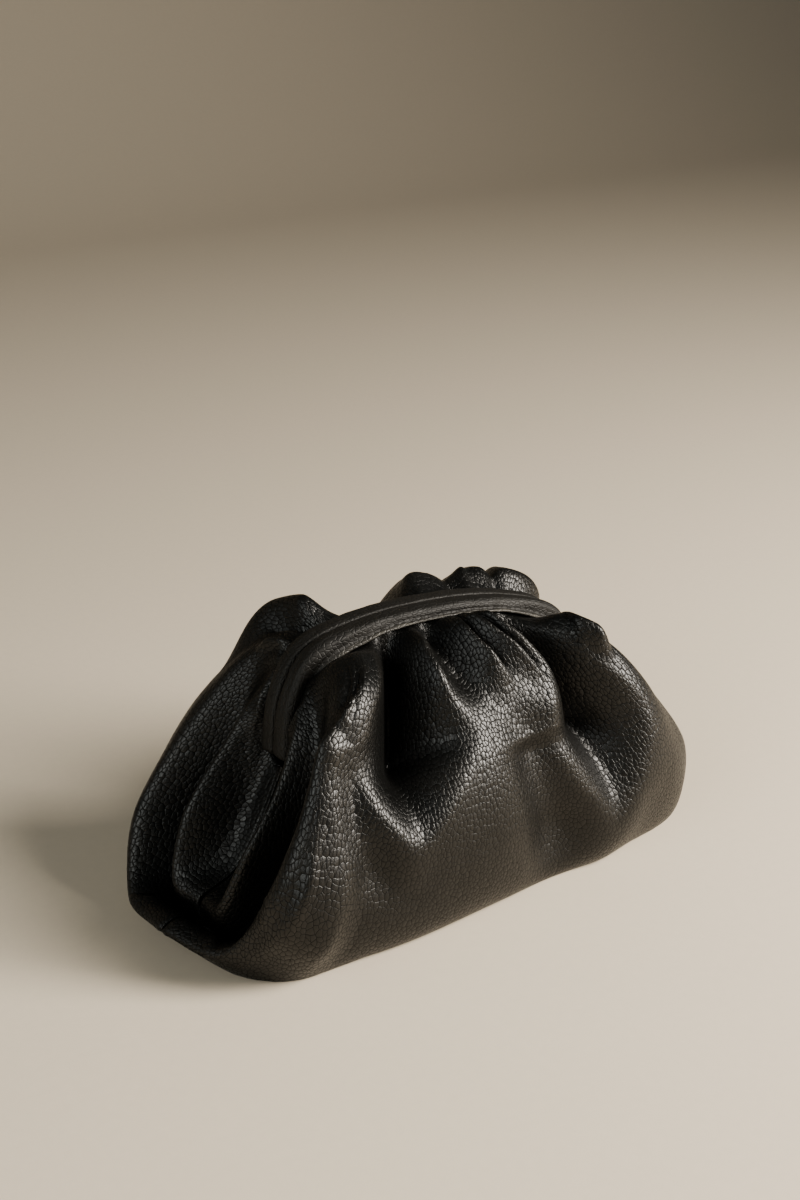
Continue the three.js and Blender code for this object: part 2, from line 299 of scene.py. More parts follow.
def through(knots, values, places):
    """A smooth curve through values along their first axis at increasing knots, evaluated at places."""
    gaps = np.diff(knots)
    column = (-1,) + (1,) * (values.ndim - 1)
    slopes = np.diff(values, axis=0) / gaps.reshape(column)
    tangents = np.concatenate([slopes[:1], slopes])
    before = gaps[:-1].reshape(column)
    after = gaps[1:].reshape(column)
    tangents[1:-1] = (slopes[:-1] * after + slopes[1:] * before) / (before + after)
    i = np.clip(np.searchsorted(knots, places) - 1, 0, len(knots) - 2)
    span = gaps[i].reshape(column)
    t = ((places - knots[i]) / gaps[i]).reshape(column)
    return (
        (2 * t**3 - 3 * t**2 + 1) * values[i]
        + (t**3 - 2 * t**2 + t) * span * tangents[i]
        + (3 * t**2 - 2 * t**3) * values[i + 1]
        + (t**3 - t**2) * span * tangents[i + 1]
    )


def smooth_form(across, up, face):
    """The panel without its folds, as points on a grid of across by up places."""
    column = {}
    for name in ("reach", "depth", "height"):
        table = np.array([getattr(row, name) for row in ROWS], float)
        column[name] = through(ROW_KNOTS, through(STATIONS, table.T, up).T, across)
    depth = np.maximum(column["depth"], MIDDLE_GAP)
    return np.stack([column["reach"], face * depth, np.maximum(column["height"], 0)], -1)


def rounded(value, radius):
    """The size of a value, with the corner at nothing rounded off, and 1 where the value is 1."""
    return (np.sqrt(value**2 + radius**2) - radius) / (math.sqrt(1 + radius**2) - radius)


def dent_height(dent, across, up):
    """How far a dent sinks in, and its rim stands out, over the pattern."""
    down = (dent.top[1] - up) / (dent.top[1] - dent.tip[1])
    grown = smoothstep(0, DENT_WIDEST, down)
    middle = mix(dent.top[0], dent.tip[0], grown)
    width = np.where(across < middle, dent.left, dent.right) * mix(DENT_TOP_WIDTH, 1, grown)
    off_middle = (across - middle) / width
    towards_tip = np.maximum(0, (down - DENT_NARROWS) / (1 - DENT_NARROWS))
    ring = rounded(off_middle, VALLEY_ROUND) + rounded(towards_tip, TIP_ROUND)
    deep = dent.depth * mix(DENT_TOP_DEPTH, 1, smoothstep(0, DENT_DEEPEST, down))
    deep = deep * smoothstep(*DENT_SETS_IN, down)
    rim_width = np.where(ring < RIM_AT, RIM_WIDTH, RIM_OUTER_WIDTH)
    to_the_right = smoothstep(-RIM_CHANGES_OVER, RIM_CHANGES_OVER, off_middle)
    rim = mix(dent.left_rim, dent.right_rim, to_the_right)
    rim = rim * smoothstep(*RIM_SETS_IN, down) * np.exp(-(((ring - RIM_AT) / rim_width) ** 2))
    return rim - deep * (1 - np.sin(np.clip(ring, 0, 1) * math.pi / 2))


def gather_height(gather, across, up):
    """How far a gather stands out over the pattern."""
    down = TOP - up
    lateral = (across - gather.at - gather.lean * down) / gather.half_width
    run = (1 - smoothstep(GATHER_FULL, gather.run, down)) * smoothstep(0, gather.tuck, down)
    return gather.rise * np.exp(-(lateral**2)) * run


def crease_height(crease, across, up):
    """How far a crease stands out or sinks in: full up to the middle of its path, and fading to its end."""
    path = np.array(crease.path, float)
    lengths = lengths_along(path)
    fine = through(lengths, path, np.linspace(0, lengths[-1], CREASE_STEPS + 1))
    nearest = np.full(across.shape, np.inf)
    side = np.zeros(across.shape)
    share = np.zeros(across.shape)
    for k in range(CREASE_STEPS):
        start = fine[k]
        along = fine[k + 1] - start
        to_x = across - start[0]
        to_y = up - start[1]
        t = np.clip((to_x * along[0] + to_y * along[1]) / (along @ along), 0, 1)
        distance = np.hypot(to_x - t * along[0], to_y - t * along[1])
        closer = distance < nearest
        nearest = np.where(closer, distance, nearest)
        side = np.where(closer, to_x * along[1] - to_y * along[0], side)
        share = np.where(closer, (k + t) / CREASE_STEPS, share)
    # A place to the left of a path that runs down, or below one that runs to the right, has a positive side.
    width = np.where(side > 0, crease.left, crease.right)
    fade = smoothstep(*CREASE_SETS_IN, share) * (1 - smoothstep(*CREASE_FADES, share))
    return crease.rise * np.exp(-((nearest / width) ** 2)) * fade


def wave_height(wave, across, up, seed, layer):
    """One size of uneven waves over the pattern."""
    heights = np.empty(across.shape)
    for index in np.ndindex(across.shape):
        heights[index] = noise.noise((across[index] / wave.across + seed, up[index] / wave.up, layer))
    return wave.height * heights


def wrinkle_height(across, up, seed):
    """Small waves of soft leather, longer down the folds than across them, and livelier near the frame."""
    broad = wave_height(BROAD_WAVE, across, up, seed, seed)
    fine = wave_height(FINE_WAVE, across, up, seed, seed + FINE_WAVE_LAYER)
    low, high = FINE_WAVE_GROWS
    return broad + fine * mix(FINE_WAVE_LOW_SHARE, 1, np.clip((up - low) / (high - low), 0, 1))


def settled(points):
    """The bag settled: the right end of the frame sits lower and further forward than the left end."""
    x, y, z = np.moveaxis(points, -1, 0)
    share = smoothstep(*SETTLED_HEIGHTS, z)
    y = y - SETTLED_FORWARD * x * share
    z = z - SETTLED_DOWN * x * share
    x = x * (1 + BACK_LONGER * y * (1 - share))
    return np.stack([x, y, z], -1)


def arch_line(steps):
    """Points, inward directions and lengths along the frame's arch, from the left hinge to the right one."""
    half = np.array(ARCH, float)
    whole = np.concatenate([half * (-1, 1), half[-2::-1]])
    knots = lengths_along(whole, 0.5)
    dense = through(knots, whole, np.linspace(0, knots[-1], ARCH_STEPS))
    lengths = lengths_along(dense)
    even = np.linspace(0, lengths[-1], steps)
    points = np.stack([np.interp(even, lengths, dense[:, k]) for k in (0, 1)], -1)
    along = np.gradient(points, axis=0)
    along /= np.linalg.norm(along, axis=1, keepdims=True)
    inward = np.stack([along[:, 1], -along[:, 0]], -1)
    return points, inward, even


def sleeve_height(reach):
    """How tall a sleeve shows, as a share of its section: less where the gathers ride up on it."""
    return 1 - COVERED_SHARE * (1 - smoothstep(*COVERED_ENDS, np.abs(reach)))


def tucked(points, across, up, face):
    """The panel's top edge drawn in under the lip of the sleeve, and against the sleeve along the arms."""
    arch, inward, _ = arch_line(TUCK_STEPS)
    edge = points[:, -1, :]
    nearest = np.linalg.norm(edge[:, None, [0, 2]] - arch[None], axis=2).argmin(axis=1)
    on_arm = smoothstep(*ARM_BEGINS, np.abs(across))
    drop = mix(*TUCK_IN, on_arm) * sleeve_height(arch[nearest][:, 0])
    under = arch[nearest] + inward[nearest] * drop[:, None]
    out = mix(*TUCK_OUT, on_arm) + TUCK_OUT_AT_CORNER * on_arm * (1 - on_arm)
    target = np.stack([under[:, 0], face * out, under[:, 1]], -1)
    share = smoothstep(TOP - TUCK_RUN, TOP, up)
    return mix(points, target[:, None, :], share[None, :, None])


def panel_points(shape, across, up, wrinkle):
    """The outer surface of a panel on a grid of across by up places."""
    face, step = shape.face, NORMAL_STEP
    base = smooth_form(across, up, face)
    acrossways = smooth_form(across + step, up, face) - smooth_form(across - step, up, face)
    upwards = smooth_form(across, up + step, face) - smooth_form(across, up - step, face)
    out = np.cross(acrossways, upwards) * -face
    out /= np.linalg.norm(out, axis=-1, keepdims=True)
    a, u = np.meshgrid(across, up, indexing="ij")
    lift = sum(dent_height(dent, a, u) for dent in shape.dents)
    lift = lift + sum(gather_height(gather, a, u) for gather in shape.gathers)
    lift = lift + sum(crease_height(crease, a, u) for crease in shape.creases)
    off_floor = smoothstep(*OFF_FLOOR, base[..., 2])
    lift = lift + wrinkle * wrinkle_height(a, u, shape.seed) * off_floor
    lift = lift - SEAM_DEPTH * (1 - smoothstep(0, SEAM_WIDTH, u)) * off_floor
    points = base + out * lift[..., None]
    points[..., 1] = face * np.maximum(face * points[..., 1], MIDDLE_GAP)
    points = tucked(points, across, up, face)
    points[..., 2] = np.maximum(points[..., 2], 0)
    return settled(points)


def ridges(points):
    """How far each point of a grid stands out from places around it, from -1 in a crease to 1 on a ridge."""
    far = RIDGE_FACES
    padded = np.pad(points, ((far, far), (far, far), (0, 0)), mode="edge")
    here = slice(far, -far)
    ahead = slice(2 * far, None)
    behind = slice(None, -2 * far)
    around = (padded[ahead, here] + padded[behind, here] + padded[here, ahead] + padded[here, behind]) / 4
    normal = np.cross(np.gradient(points, axis=0), np.gradient(points, axis=1))
    normal /= np.linalg.norm(normal, axis=-1, keepdims=True) + NEVER_ZERO
    bulge = ((points - around) * normal).sum(-1)
    return np.clip(bulge / RIDGE_HEIGHT, -1, 1)


def active_mesh(name):
    """The mesh object just added, under its own name."""
    piece = bpy.context.object
    piece.name = name
    piece.data.name = name
    return piece


def clear_selection():
    """Object mode with nothing selected."""
    if bpy.context.mode != "OBJECT":
        bpy.ops.object.mode_set(mode="OBJECT")
    bpy.ops.object.select_all(action="DESELECT")


@contextmanager
def whole_mesh_in_edit_mode():
    """Edit mode on the active mesh with all of it selected, and object mode again after that."""
    bpy.ops.object.mode_set(mode="EDIT")
    bpy.ops.mesh.select_all(action="SELECT")
    yield
    bpy.ops.object.mode_set(mode="OBJECT")


def grid_piece(name, points):
    """A grid primitive whose points are moved to a table of columns by rows."""
    columns, rows = points.shape[:2]
    clear_selection()
    bpy.ops.mesh.primitive_grid_add(
        x_subdivisions=columns - 1, y_subdivisions=rows - 1, size=2, calc_uvs=True
    )
    piece = active_mesh(name)
    flat = np.empty(len(piece.data.vertices) * 3)
    piece.data.vertices.foreach_get("co", flat)
    flat = flat.reshape(-1, 3)
    column = np.rint((flat[:, 0] + 1) / 2 * (columns - 1)).astype(int)
    row = np.rint((flat[:, 1] + 1) / 2 * (rows - 1)).astype(int)
    piece.data.vertices.foreach_set("co", points[column, row].ravel())
    piece.data.update()
    return piece, column, row


def select_edges(piece, chosen):
    """Edit mode on the active piece, with the edges selected whose two ends are at chosen places."""
    bpy.ops.object.mode_set(mode="EDIT")
    bpy.ops.mesh.select_mode(type="EDGE")
    bpy.ops.mesh.select_all(action="DESELECT")
    bpy.ops.object.mode_set(mode="OBJECT")
    for edge in piece.data.edges:
        edge.select = all(chosen(piece.data.vertices[end].co) for end in edge.vertices)
    bpy.ops.object.mode_set(mode="EDIT")


def corner_vertices(mesh):
    """The vertex at each face corner of a mesh."""
    corner = np.empty(len(mesh.loops), int)
    mesh.loops.foreach_get("vertex_index", corner)
    return corner


def pattern_uv(points):
    """The panel laid flat with little stretch, in metres, on the grid of a coarse copy, and its area."""
    piece, column, row = grid_piece("pattern", points)
    with whole_mesh_in_edit_mode():
        if bpy.ops.uv.unwrap(method="MINIMUM_STRETCH", margin=0) != {"FINISHED"}:
            raise RuntimeError("The panel could not be laid flat")
    mesh = piece.data
    corner = corner_vertices(mesh)
    place = np.empty(len(mesh.loops) * 2)
    mesh.uv_layers.active.uv.foreach_get("vector", place)
    table = np.zeros(points.shape[:2] + (2,))
    table[column[corner], row[corner]] = place.reshape(-1, 2)
    bpy.data.objects.remove(piece)
    du, dv = np.diff(table, axis=0)[:, :-1], np.diff(table, axis=1)[:-1]
    flat_area = np.abs(du[..., 0] * dv[..., 1] - du[..., 1] * dv[..., 0]).sum()
    pu, pv = np.diff(points, axis=0)[:, :-1], np.diff(points, axis=1)[:-1]
    area = np.linalg.norm(np.cross(pu, pv), axis=-1).sum()
    # The pattern is turned so that the middle of the panel runs straight up.
    middle = table[len(table) // 2]
    rise = middle[-1] - middle[0]
    sine, cosine = rise / np.linalg.norm(rise)
    table = table @ np.array([[cosine, sine], [-sine, cosine]])
    return table * math.sqrt(area / flat_area), area


def set_uv(piece, column, row, table):
    """Gives each grid point of a piece its place on the flat leather."""
    corner = corner_vertices(piece.data)
    piece.data.uv_layers.active.uv.foreach_set("vector", table[column[corner], row[corner]].ravel())


def set_attribute(piece, name, values):
    """Gives each point of a piece a number that its material reads."""
    layer = piece.data.attributes.new(name, "FLOAT", "POINT")
    layer.data.foreach_set("value", np.asarray(values, float).ravel())


def finish_piece(piece, nodes, material):
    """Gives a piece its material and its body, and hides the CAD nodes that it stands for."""
    piece.data.materials.clear()
    piece.data.materials.append(material)
    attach(piece, BODY)
    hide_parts(*nodes)


def opaque(colour):
    """A colour with the full alpha that a shader's colour socket asks for."""
    return (*colour, 1)


class Socket:
    """One output socket of a material, so that shader maths is written as plain expressions."""

    def __init__(self, shader, socket):
        self.shader = shader
        self.socket = socket

    def maths(self, operation, first, second):
        return self.shader.node("ShaderNodeMath", {"operation": operation}, {0: first, 1: second})

    def __add__(self, other):
        return self.maths("ADD", self, other)

    __radd__ = __add__

    def __sub__(self, other):
        return self.maths("SUBTRACT", self, other)

    def __rsub__(self, other):
        return self.maths("SUBTRACT", other, self)

    def __mul__(self, other):
        return self.maths("MULTIPLY", self, other)

    __rmul__ = __mul__


class Shader:
    """A material's node tree with one main Principled shader."""

    def __init__(self, name):
        self.material = bpy.data.materials.get(name) or bpy.data.materials.new(name)
        self.material.use_nodes = True
        self.tree = self.material.node_tree
        self.tree.nodes.clear()
        self.output = self.tree.nodes.new("ShaderNodeOutputMaterial")
        self.principled = self.tree.nodes.new("ShaderNodeBsdfPrincipled")
        self.tree.links.new(self.principled.outputs[0], self.output.inputs["Surface"])

    def feed(self, target, value):
        """Sets an input socket to a number or colour, or links it to another socket."""
        if isinstance(value, Socket):
            self.tree.links.new(value.socket, target)
        else:
            target.default_value = value

    def node(self, kind, settings=None, inputs=None, output=0):
        """Adds a node with its settings and inputs, and gives one of its outputs."""
        made = self.tree.nodes.new(kind)
        for name, value in (settings or {}).items():
            setattr(made, name, value)
        for name, value in (inputs or {}).items():
            self.feed(made.inputs[name], value)
        return Socket(self, made.outputs[output])

    def noise(self, place, scale, detail, roughness=0.5, output=0):
        """Soft noise with so many waves to the metre."""
        inputs = {"Vector": place, "Scale": scale, "Detail": detail, "Roughness": roughness}
        return self.node("ShaderNodeTexNoise", None, inputs, output)

    def vector(self, operation, first, second):
        """Vector maths on two vectors, or on a vector and a scale."""
        other = "Scale" if operation == "SCALE" else 1
        return self.node("ShaderNodeVectorMath", {"operation": operation}, {0: first, other: second})

    def stretched(self, place, scale):
        """A place stretched by a scale along each axis."""
        return self.node("ShaderNodeMapping", None, {"Vector": place, "Scale": scale})

    def cells(self, feature, place, scale, randomness):
        """Flat cells, so many to the metre: the distance to their edges or to their middles."""
        settings = {"voronoi_dimensions": "2D", "feature": feature}
        inputs = {"Vector": place, "Scale": scale, "Randomness": randomness}
        return self.node("ShaderNodeTexVoronoi", settings, inputs, "Distance")

    def step(self, low, high, value):
        """A smooth step from 0 at low to 1 at high."""
        settings = {"interpolation_type": "SMOOTHSTEP"}
        return self.node("ShaderNodeMapRange", settings, {0: value, 1: low, 2: high})

    def blend(self, share, first, second):
        """A colour part of the way from first to second."""
        settings = {"data_type": "RGBA"}
        return self.node("ShaderNodeMix", settings, {0: share, 6: first, 7: second}, 2)

    def bump(self, height, strength, depth):
        """The surface's normal over a height, which is as deep as depth in metres."""
        inputs = {"Strength": strength, "Distance": depth, "Height": height}
        return self.node("ShaderNodeBump", None, inputs, "Normal")

    def surface(self, **values):
        """Sets or links inputs of the main shader, with spaces in their names as underscores."""
        for name, value in values.items():
            self.feed(self.principled.inputs[name.replace("_", " ")], value)

    def painted_crease_shade(self, share, colour):
        """Where share is 1 the surface gives back no gloss: painted shade in the creases, where little light
        falls.
        """
        shade_settings = {"Base Color": colour, "Roughness": 0.9, "Specular IOR Level": 0.0}
        crease = self.node("ShaderNodeBsdfPrincipled", None, shade_settings)
        gloss = Socket(self, self.principled.outputs[0])
        both = self.node("ShaderNodeMixShader", None, {0: share, 1: gloss, 2: crease})
        self.feed(self.output.inputs["Surface"], both)


# The pebbled leather. Widths and ways are shares of a pebble, rises are shares of the grain's depth, and the
# pores and patches are counted to the metre.
DRIFT_SCALE = 0.45
DRIFT_WAY = 0.75
PEBBLE_DRAWN = (1.2, 0.84, 1.0)
PEBBLE_RANDOM = 0.9
FINE_CELLS = 2.3
CREASE_WIDTH = 0.12
PORES = 2600.0
PATCHES = 38.0
PEBBLE_RISE = 0.3
DOME_RISE = 1.3
FINE_RISE = 0.1
PORE_RISE = 0.05
WORN_RIDGE = (0.15, 0.9)
WORN_PATCH = (0.35, 0.65)
WORN_SHARE = 0.5
CREASE_ROUGHER = 0.12
PATCH_ROUGHER = 0.12
WORN_GLOSSIER = 0.05
# Painted shade in the creases: how wide it is, as a share of a pebble, and how much of their gloss the
# creases lose.
SHADED_CREASE_WIDTH = 0.1
CREASE_SHADE_SHARE = 0.6


def pebbled_leather(settings):
    """Black tumbled leather: flat pebbles parted by narrow creases with painted shade in them, glossier on
    worn ridges.
    """
    s = Shader("pebbled_leather")
    flat = s.node("ShaderNodeUVMap", {"uv_map": "UVMap"})
    place = s.node("ShaderNodeTexCoord", output="Object")
    ridge = s.node("ShaderNodeAttribute", {"attribute_name": "ridge"}, output="Fac")
    drift = s.noise(flat, DRIFT_SCALE / settings.grain, 2.0, output="Color")
    centred = s.vector("SUBTRACT", drift, (0.5, 0.5, 0.5))
    sway = s.vector("SCALE", centred, DRIFT_WAY * settings.grain)
    drawn = s.stretched(s.vector("ADD", flat, sway), PEBBLE_DRAWN)
    edge = s.cells("DISTANCE_TO_EDGE", drawn, 1 / settings.grain, PEBBLE_RANDOM)
    centre = s.cells("F1", drawn, 1 / settings.grain, PEBBLE_RANDOM)
    fine_edge = s.cells("DISTANCE_TO_EDGE", drawn, FINE_CELLS / settings.grain, 1.0)
    pebble = s.step(0.0, CREASE_WIDTH, edge)
    fine_crease = s.step(0.0, CREASE_WIDTH, fine_edge)
    pores = s.noise(place, PORES, 3.0)
    patches = s.noise(place, PATCHES, 3.0)
    height = PEBBLE_RISE * pebble - DOME_RISE * centre * centre + FINE_RISE * fine_crease + PORE_RISE * pores
    worn = s.step(*WORN_RIDGE, ridge) * s.step(*WORN_PATCH, patches) * pebble
    dyed = s.blend(patches, opaque(settings.colour), opaque(settings.brown))
    roughness = settings.roughness + CREASE_ROUGHER * (1 - pebble)
    roughness = roughness + PATCH_ROUGHER * (patches - 0.5) - WORN_GLOSSIER * worn
    s.surface(
        Base_Color=s.blend(worn * WORN_SHARE, dyed, opaque(settings.worn)),
        Roughness=roughness,
        Normal=s.bump(height, 1.0, settings.grain_depth),
        Specular_IOR_Level=0.5,
    )
    # Painted shade: the creases between the pebbles give back less gloss.
    s.painted_crease_shade(CREASE_SHADE_SHARE * (1 - s.step(0.0, SHADED_CREASE_WIDTH, edge)), opaque(settings.colour))
    return s.material


# The sleeves' leather. Lines, cells and patches are counted to the metre, and rises are shares of the grain.
LINES = 700.0
LINES_DRAWN = (0.16, 1.0, 1.0)
LINES_ROUGHNESS = 0.6
CELLS = 560.0
CELLS_DRAWN = (0.75, 1.0, 1.0)
CELL_CREASE_WIDTH = 0.22
SLEEVE_PATCHES = 60.0
LINE_RISE = 0.4
CELL_RISE = 0.5
GRAIN_STRENGTH = 0.8
GRAIN_DEPTH = 0.3 * MM
LIP_WEAR_AND_HIGHLIGHT_LINES = (0.3, 0.7)
SLEEVE_ROUGHNESS = 0.6
LINE_ROUGHER = 0.2
RUBBED_GLOSSIER = 0.12


def sleeve_leather(settings):
    """Thinner, smoother leather drawn over the bars of the frame, with lines along it and a rubbed lip,
    paler partly from wear and partly as painted highlight.
    """
    s = Shader("sleeve_leather")
    flat = s.node("ShaderNodeUVMap", {"uv_map": "UVMap"})
    place = s.node("ShaderNodeTexCoord", output="Object")
    lip_wear_and_highlight = s.node("ShaderNodeAttribute", {"attribute_name": "lip_wear_and_highlight"}, output="Fac")
    lines = s.noise(s.stretched(flat, LINES_DRAWN), LINES, 4.0, LINES_ROUGHNESS)
    edge = s.cells("DISTANCE_TO_EDGE", s.stretched(flat, CELLS_DRAWN), CELLS, 1.0)
    cell = s.step(0.0, CELL_CREASE_WIDTH, edge)
    patches = s.noise(place, SLEEVE_PATCHES, 3.0)
    dyed = s.blend(patches, opaque(settings.colour), opaque(settings.brown))
    # The lip's paler colour is partly rubbed wear and partly painted highlight.
    s.surface(
        Base_Color=s.blend(lip_wear_and_highlight * s.step(*LIP_WEAR_AND_HIGHLIGHT_LINES, lines), dyed, opaque(settings.worn)),
        Roughness=SLEEVE_ROUGHNESS + LINE_ROUGHER * (lines - 0.5) - RUBBED_GLOSSIER * lip_wear_and_highlight,
        Normal=s.bump(LINE_RISE * lines + CELL_RISE * cell, GRAIN_STRENGTH, GRAIN_DEPTH),
    )
    return s.material


# The floor's fine mottling, counted to the metre, and how much paler its light spots are.
FLOOR_SPOTS = 240.0
FLOOR_PALER = 1.06


def floor_finish(settings):
    """A plain pale matt floor with a fine mottling."""
    s = Shader("floor")
    place = s.node("ShaderNodeTexCoord", output="Object")
    spots = s.noise(place, FLOOR_SPOTS, 4.0)
    pale = [min(1.0, c * FLOOR_PALER) for c in settings.floor]
    s.surface(
        Base_Color=s.blend(spots, opaque(settings.floor), opaque(pale)),
        Roughness=0.8 + 0.1 * spots,
    )
    return s.material


class LeatherSettings(bpy.types.PropertyGroup):
    """Sizes and colours of the panels' pebbled leather."""

    wall: FloatProperty(
        name="Wall", description="Thickness of the leather", default=1.6 * MM, unit="LENGTH"
    )
    columns: IntProperty(
        name="Columns", description="Grid faces along a panel", default=300, min=40, max=330
    )
    rows: IntProperty(name="Rows", description="Grid faces up a panel", default=148, min=20, max=150)
    wrinkle: FloatProperty(
        name="Wrinkles", description="Height of the small waves, in millimetres", default=0.8
    )
    grain: FloatProperty(
        name="Grain", description="Width of one pebble", default=2.0 * MM, unit="LENGTH"
    )
    grain_depth: FloatProperty(
        name="Grain depth", description="Depth of the creases", default=0.2 * MM, unit="LENGTH"
    )
    roughness: FloatProperty(
        name="Roughness", description="Roughness of a pebble", default=0.35, subtype="FACTOR"
    )
    colour: FloatVectorProperty(
        name="Black", description="The leather", default=(0.0033, 0.0034, 0.0031), subtype="COLOR"
    )
    brown: FloatVectorProperty(
        name="Brown", description="Where the dye is thin", default=(0.0065, 0.0063, 0.0055), subtype="COLOR"
    )
    worn: FloatVectorProperty(
        name="Worn", description="Worn ridges", default=(0.02, 0.018, 0.015), subtype="COLOR"
    )


class SleeveSettings(bpy.types.PropertyGroup):
    """Sizes and colours of the sleeves over the frame."""

    steps: IntProperty(name="Steps", description="Faces along a sleeve", default=320, min=40, max=600)
    pucker: FloatProperty(
        name="Pucker", description="Height of the uneven lines, in millimetres", default=0.35
    )
    colour: FloatVectorProperty(
        name="Black", description="The sleeve", default=(0.004, 0.0036, 0.003), subtype="COLOR"
    )
    brown: FloatVectorProperty(
        name="Brown", description="Where the dye is thin", default=(0.01, 0.0085, 0.006), subtype="COLOR"
    )
    # The lip's paler colour: partly rubbed wear, partly painted highlight.
    worn: FloatVectorProperty(
        name="Rubbed", description="The rubbed lip", default=(0.07, 0.065, 0.055), subtype="COLOR"
    )


class StudioSettings(bpy.types.PropertyGroup):
    """Floor, lights and camera."""

    floor: FloatVectorProperty(
        name="Floor", description="The floor", default=(0.66, 0.58, 0.47), subtype="COLOR"
    )
    key: FloatProperty(name="Key", description="Power of the main light", default=40.0, unit="POWER")
    fill: FloatProperty(
        name="Fill", description="Power of the soft light from the left", default=4.0, unit="POWER"
    )
    sky: FloatProperty(name="Sky", description="Strength of the light all round", default=0.08)
    lens: FloatProperty(name="Lens", description="Focal length in millimetres", default=50.0)


class BAG_OT_studio(bpy.types.Operator):
    """Adds the floor, the lights and the camera"""

    bl_idname = "bag.studio"
    bl_label = "Studio"

    def execute(self, context):
        settings = context.scene.bag_studio
        floor = self.floor()
        floor.data.materials.append(floor_finish(settings))
        for lamp in LAMPS:
            self.light(lamp, getattr(settings, lamp.setting) * lamp.share)
        self.sky(context.scene, settings)
        self.camera(context.scene, settings)
        context.scene.view_settings.look = "AgX - Medium High Contrast"
        return {"FINISHED"}

    def floor(self):
        """A plane whose far edge is drawn up into a wall, with a round bend between them."""
        clear_selection()
        bpy.ops.mesh.primitive_plane_add(size=FLOOR_SIZE, location=(0, 0, 0))
        floor = active_mesh("floor")
        select_edges(floor, lambda place: place.y > FLOOR_BACK)
        bpy.ops.mesh.extrude_region_move(TRANSFORM_OT_translate={"value": (0, 0, WALL_HEIGHT)})
        select_edges(floor, lambda place: place.y > FLOOR_BACK and place.z < WALL_FOOT)
        bpy.ops.mesh.bevel(offset=BEND_RADIUS, segments=BEND_FACES, affect="EDGES")
        bpy.ops.object.mode_set(mode="OBJECT")
        bpy.ops.object.shade_smooth()
        return floor

    def light(self, lamp, power):
        """A soft rectangular light that points at the bag."""
        bpy.ops.object.light_add(type="AREA", location=lamp.place)
        light = bpy.context.object
        light.name = lamp.name
        light.data.shape = "RECTANGLE"
        light.data.size = lamp.width
        light.data.size_y = lamp.width * lamp.tall
        light.data.energy = power
        light.data.color = lamp.colour
        aim = LAMPS_AIM - light.location
        light.rotation_euler = aim.to_track_quat("-Z", "Y").to_euler()

    def sky(self, scene, settings):
        """A weak even light all round."""
        world = scene.world or bpy.data.worlds.new("studio")
        scene.world = world
        world.use_nodes = True
        sky = world.node_tree.nodes["Background"]
        sky.inputs["Color"].default_value = SKY_COLOUR
        sky.inputs["Strength"].default_value = settings.sky

    def camera(self, scene, settings):
        """The camera, level from side to side and looking down on the bag's front and left end."""
        bpy.ops.object.camera_add(location=CAMERA_PLACE)
        camera = bpy.context.object
        camera.data.sensor_fit = "VERTICAL"
        camera.data.sensor_height = SENSOR_HEIGHT_MM
        camera.data.lens = settings.lens
        camera.rotation_euler = (math.pi / 2 - CAMERA_ELEVATION, 0, CAMERA_AZIMUTH)
        scene.camera = camera


class BAG_OT_panels(bpy.types.Operator):
    """Makes the front and back panels as gathered sheets of leather"""

    bl_idname = "bag.panels"
    bl_label = "Panels"

    def execute(self, context):
        settings = context.scene.bag_leather
        leather = pebbled_leather(settings)
        for shape in PANELS:
            self.panel(shape, settings, leather)
        return {"FINISHED"}

    def panel(self, shape, settings, leather):
        """One panel: a fine grid drawn into its folds, with its flat pattern as UV map, and a wall."""
        evenly = np.linspace(-1, 1, settings.columns + 1)
        across = ROW_KNOTS[-1] * ((1 - COLUMN_SPREAD) * evenly + COLUMN_SPREAD * evenly**3)
        lower = int(settings.rows * ROWS_BELOW_SHOULDER)
        below = np.linspace(0, SHOULDER, lower + 1)
        above = np.linspace(SHOULDER, TOP, settings.rows - lower + 1)
        up = np.concatenate([below[:-1], above])
        points = MM * panel_points(shape, across, up, settings.wrinkle)
        some_across = across[::PATTERN_COLUMN_STEP]
        some_up = np.linspace(0, TOP, PATTERN_ROWS + 1)
        pattern, area = pattern_uv(MM * panel_points(shape, some_across, some_up, 0))
        pattern = through(some_across, pattern, across)
        pattern = through(some_up, pattern.transpose(1, 0, 2), up).transpose(1, 0, 2)
        piece, column, row = grid_piece(shape.name, points)
        set_uv(piece, column, row, pattern)
        set_attribute(piece, "ridge", (ridges(points / MM) * -shape.face)[column, row])
        if shape.face > 0:
            with whole_mesh_in_edit_mode():
                bpy.ops.mesh.flip_normals()
        solid = piece.modifiers.new("wall", "SOLIDIFY")
        solid.thickness = settings.wall
        solid.offset = -1
        bpy.ops.object.modifier_apply(modifier=solid.name)
        bpy.ops.object.shade_smooth()
        finish_piece(piece, [shape.node], leather)


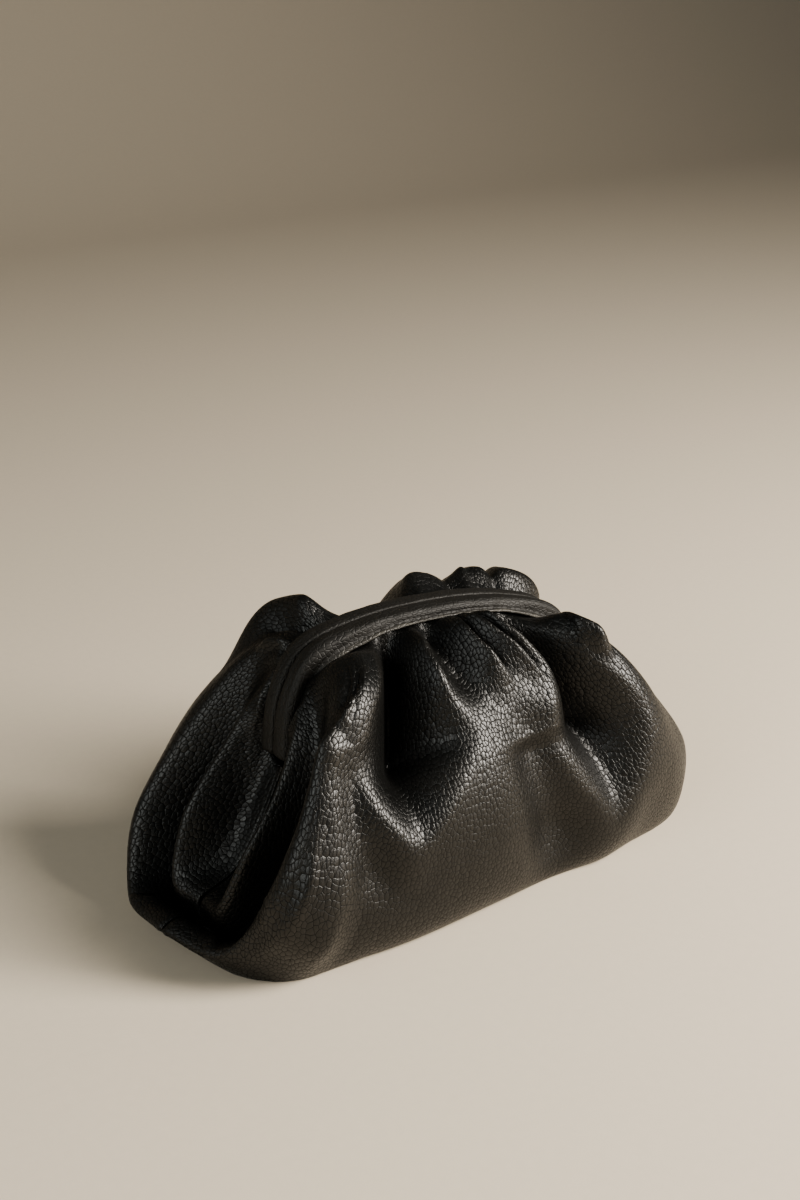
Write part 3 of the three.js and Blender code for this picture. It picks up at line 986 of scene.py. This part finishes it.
class BAG_OT_sleeves(bpy.types.Operator):
    """Makes the two leather sleeves over the halves of the frame"""

    bl_idname = "bag.sleeves"
    bl_label = "Sleeves"

    def execute(self, context):
        settings = context.scene.bag_sleeve
        leather = sleeve_leather(settings)
        for shape in SLEEVES:
            self.sleeve(shape, settings, leather)
        return {"FINISHED"}

    def sleeve(self, shape, settings, leather):
        """One sleeve: its section swept along the arch, with uneven lines, closed at both ends."""
        arch, inward, length = arch_line(settings.steps + 1)
        section = np.array(SLEEVE_SECTION + SLEEVE_SECTION[:1], float)
        knots = lengths_along(section)
        round_it = np.linspace(0, knots[-1], SECTION_STEPS + 1)
        section = through(knots, section, round_it)
        middle = section.mean(axis=0)
        outward = section - middle
        outward /= np.linalg.norm(outward, axis=1, keepdims=True)
        from_end = np.minimum(length, length[-1] - length)
        closing = np.sqrt(1 - (1 - np.clip(from_end / END_ROUND, 0.0, 1)) ** 2)
        closing = np.maximum(closing, END_CLOSED)
        swept = middle + (section[None] - middle) * closing[:, None, None]
        lines = settings.pucker * closing[:, None] * self.lines(length, shape.seed)
        swept = swept + lines[..., None] * outward[None]
        out = np.maximum(swept[..., 0], MIDDLE_GAP)
        deep = swept[..., 1] * sleeve_height(arch[:, 0])[:, None]
        reach = arch[:, None, 0] + inward[:, None, 0] * deep
        height = arch[:, None, 1] + inward[:, None, 1] * deep
        points = MM * settled(np.stack([reach, shape.face * out, height], -1))
        piece, column, row = grid_piece(shape.name, points)
        set_uv(piece, column, row, MM * np.stack(np.meshgrid(length, round_it, indexing="ij"), -1))
        # The lip, coloured paler for wear and as painted highlight.
        lip = smoothstep(*LIP_OUT, section[:, 0]) * (1 - smoothstep(*LIP_LOWER_EDGE, section[:, 1]))
        set_attribute(piece, "lip_wear_and_highlight", lip[row])
        with whole_mesh_in_edit_mode():
            bpy.ops.mesh.remove_doubles(threshold=MERGE_WITHIN)
            bpy.ops.mesh.fill_holes(sides=0)
            bpy.ops.mesh.normals_make_consistent(inside=False)
        bpy.ops.object.shade_smooth()
        finish_piece(piece, [shape.node], leather)

    def lines(self, length, seed):
        """Uneven lines along a sleeve, with knots in them, at each length and place round its section."""
        heights = np.empty((len(length), SECTION_STEPS + 1))
        for i, k in np.ndindex(heights.shape):
            turn = 2 * math.pi * k / SECTION_STEPS
            x, y = math.cos(turn), math.sin(turn)
            line = noise.noise((length[i] / LINE_LENGTH + seed, LINE_RING * x, LINE_RING * y))
            knot = noise.noise((length[i] / KNOT_LENGTH + seed, KNOT_RING * x, KNOT_RING * y))
            heights[i, k] = line + KNOT_SHARE * knot
        return heights


class BAG_PT_panel(bpy.types.Panel):
    """The steps that make the bag, in order"""

    bl_label = "Clutch bag"
    bl_idname = "BAG_PT_panel"
    bl_space_type = "VIEW_3D"
    bl_region_type = "UI"
    bl_category = "Bag"

    def draw(self, context):
        for step in STEPS:
            self.layout.operator(step.bl_idname)


STEPS = (BAG_OT_studio, BAG_OT_panels, BAG_OT_sleeves)
CLASSES = (LeatherSettings, SleeveSettings, StudioSettings, *STEPS, BAG_PT_panel)


def register():
    for made in CLASSES:
        bpy.utils.register_class(made)
    bpy.types.Scene.bag_leather = PointerProperty(type=LeatherSettings)
    bpy.types.Scene.bag_sleeve = PointerProperty(type=SleeveSettings)
    bpy.types.Scene.bag_studio = PointerProperty(type=StudioSettings)


def unregister():
    for name in ("bag_leather", "bag_sleeve", "bag_studio"):
        delattr(bpy.types.Scene, name)
    for made in reversed(CLASSES):
        bpy.utils.unregister_class(made)


def main():
    register()
    bpy.ops.bag.studio()
    bpy.ops.bag.panels()
    bpy.ops.bag.sleeves()


if __name__ == "__main__":
    main()
